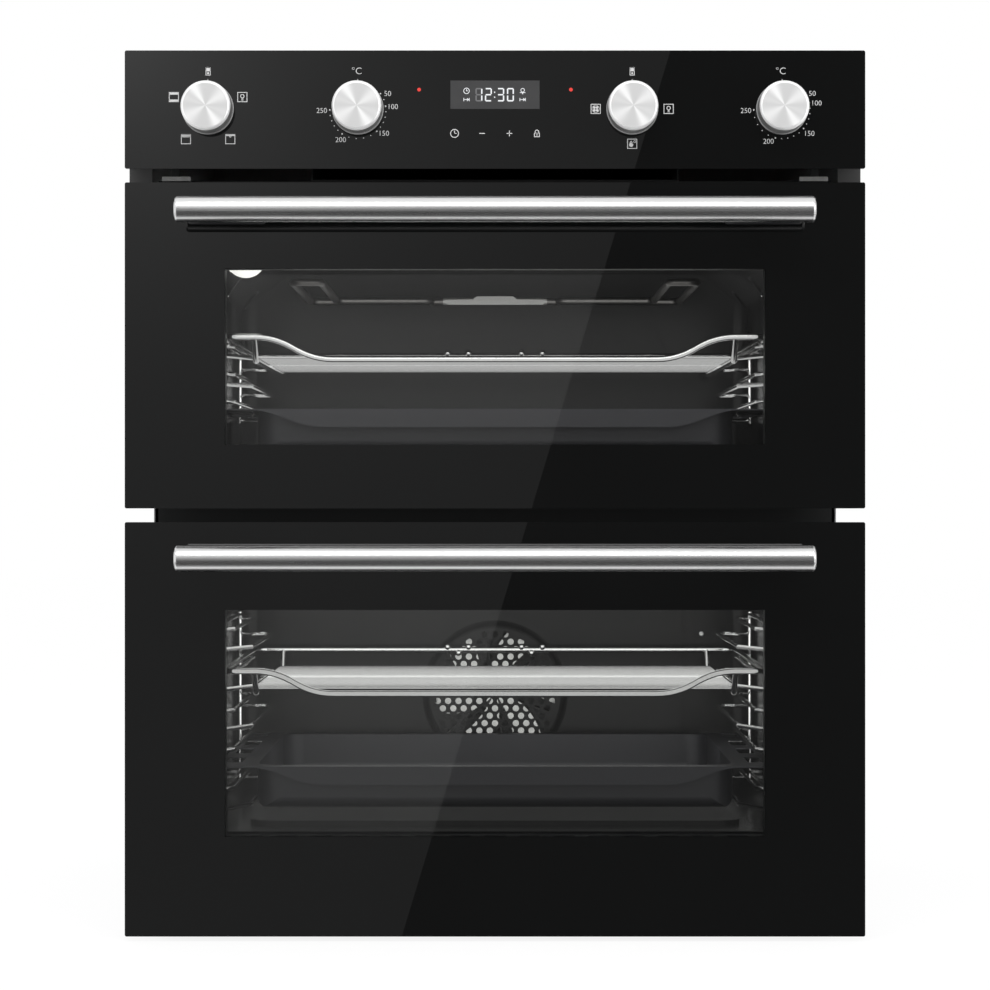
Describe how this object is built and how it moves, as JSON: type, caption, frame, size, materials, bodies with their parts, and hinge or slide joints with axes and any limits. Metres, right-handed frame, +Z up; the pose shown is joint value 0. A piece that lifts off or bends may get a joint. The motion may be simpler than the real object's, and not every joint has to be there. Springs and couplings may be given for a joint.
{
  "type": "built-under double oven",
  "caption": "Built-under double oven with two drop-down glass doors, tubular handles, a glass control panel with knobs, and racks, wire shelves and trays in two enamelled cavities.",
  "frame": {"origin": "on the floor of the niche, at the centre of the oven's outline", "axes": "+Z up, -Y towards the user at the fronts, +X to the right seen from the front"},
  "size_m": [0.595, 0.6234, 0.716],
  "materials": {
    "black_glass": "black printed back, polished, with a clear window on the doors",
    "clear_glass": "clear heat-resistant pane",
    "galvanised": "galvanised sheet steel",
    "enamel": "glossy vitreous enamel, dark grey",
    "tray_enamel": "glossy black vitreous enamel",
    "bright_wire": "bright chromed wire",
    "element": "sheathed heating element, matt grey",
    "handle_metal": "satin tube, brushed along its length",
    "knob_metal": "spun face and bright rim",
    "dark_plastic": "satin black",
    "light_plastic": "heat-resistant off-white",
    "lens": "frosted heat-resistant glass",
    "red_lens": "clear red",
    "display": "dark grey display cell",
    "wool": "mineral wool blanket",
    "seal": "woven heat-resistant seal",
    "steel": "plain steel"
  },
  "bodies": {
    "casing": {"front_frame": "galvanised", "side_panel_left": "galvanised", "side_panel_right": "galvanised", "top_panel": "galvanised", "base_panel": "galvanised", "back_panel": "galvanised", "upper_cavity": "enamel", "lower_cavity": "enamel", "upper_insulation": "wool", "lower_insulation": "wool", "upper_door_seal": "seal", "lower_door_seal": "seal", "fan_cover": "enamel", "ring_element": "element", "fan_motor": "steel", "grill_element": "element", "oven_lamp": "lens", "upper_rack_left": "bright_wire", "upper_rack_right": "bright_wire", "lower_rack_left": "bright_wire", "lower_rack_right": "bright_wire", "upper_shelf": "bright_wire", "lower_shelf": "bright_wire", "upper_tray": "tray_enamel", "lower_tray": "tray_enamel", "control_fascia": "black_glass", "fascia_bracket": "galvanised", "display_module": "display", "selector_switches": "light_plastic", "thermostats": "steel", "indicator_lamps": "red_lens", "cooling_fan_housing": "galvanised", "cooling_fan_motor": "steel", "terminal_block": "light_plastic", "hinge_arms": "steel"},
    "upper_door": {"upper_door_glass": "black_glass", "upper_inner_pane": "clear_glass", "upper_door_frame": "galvanised", "upper_handle": "handle_metal", "upper_handle_brackets": "dark_plastic", "upper_hinge_cassettes": "steel"},
    "lower_door": {"lower_door_glass": "black_glass", "lower_middle_pane": "clear_glass", "lower_inner_pane": "clear_glass", "lower_door_frame": "galvanised", "lower_handle": "handle_metal", "lower_handle_brackets": "dark_plastic", "lower_hinge_cassettes": "steel"},
    "upper_function_control": {"upper_function_knob": "knob_metal", "upper_function_spindle": "steel"},
    "upper_temperature_control": {"upper_temperature_knob": "knob_metal", "upper_temperature_spindle": "steel"},
    "lower_function_control": {"lower_function_knob": "knob_metal", "lower_function_spindle": "steel"},
    "lower_temperature_control": {"lower_temperature_knob": "knob_metal", "lower_temperature_spindle": "steel"},
    "convection_impeller": {"convection_fan": "steel"},
    "cooling_impeller": {"cooling_fan": "dark_plastic"}
  },
  "joints": [
    {"name": "upper_door_hinge", "type": "hinge", "parent": "casing", "child": "upper_door", "pos_m": [0, -0.2413, 0.372], "axis": [1, 0, 0], "range_deg": [0, 90], "stiffness_Nm_per_rad": 2.6, "springref_deg": -28.65},
    {"name": "lower_door_hinge", "type": "hinge", "parent": "casing", "child": "lower_door", "pos_m": [0, -0.2413, 0.028], "axis": [1, 0, 0], "range_deg": [0, 90], "stiffness_Nm_per_rad": 4, "springref_deg": -28.65},
    {"name": "upper_function_turn", "type": "hinge", "parent": "casing", "child": "upper_function_control", "pos_m": [-0.2305, -0.2553, 0.669], "axis": [0, 1, 0], "continuous": true},
    {"name": "upper_temperature_turn", "type": "hinge", "parent": "casing", "child": "upper_temperature_control", "pos_m": [-0.1102, -0.2553, 0.669], "axis": [0, 1, 0], "range_deg": [0, 267]},
    {"name": "lower_function_turn", "type": "hinge", "parent": "casing", "child": "lower_function_control", "pos_m": [0.1102, -0.2553, 0.669], "axis": [0, 1, 0], "continuous": true},
    {"name": "lower_temperature_turn", "type": "hinge", "parent": "casing", "child": "lower_temperature_control", "pos_m": [0.2305, -0.2553, 0.669], "axis": [0, 1, 0], "range_deg": [0, 266]},
    {"name": "convection_fan_spin", "type": "hinge", "parent": "casing", "child": "convection_impeller", "pos_m": [0, 0.2047, 0.171], "axis": [0, 1, 0], "continuous": true},
    {"name": "cooling_fan_spin", "type": "hinge", "parent": "casing", "child": "cooling_impeller", "pos_m": [0, 0.1247, 0.6], "axis": [0, 0, 1], "continuous": true}
  ]
}
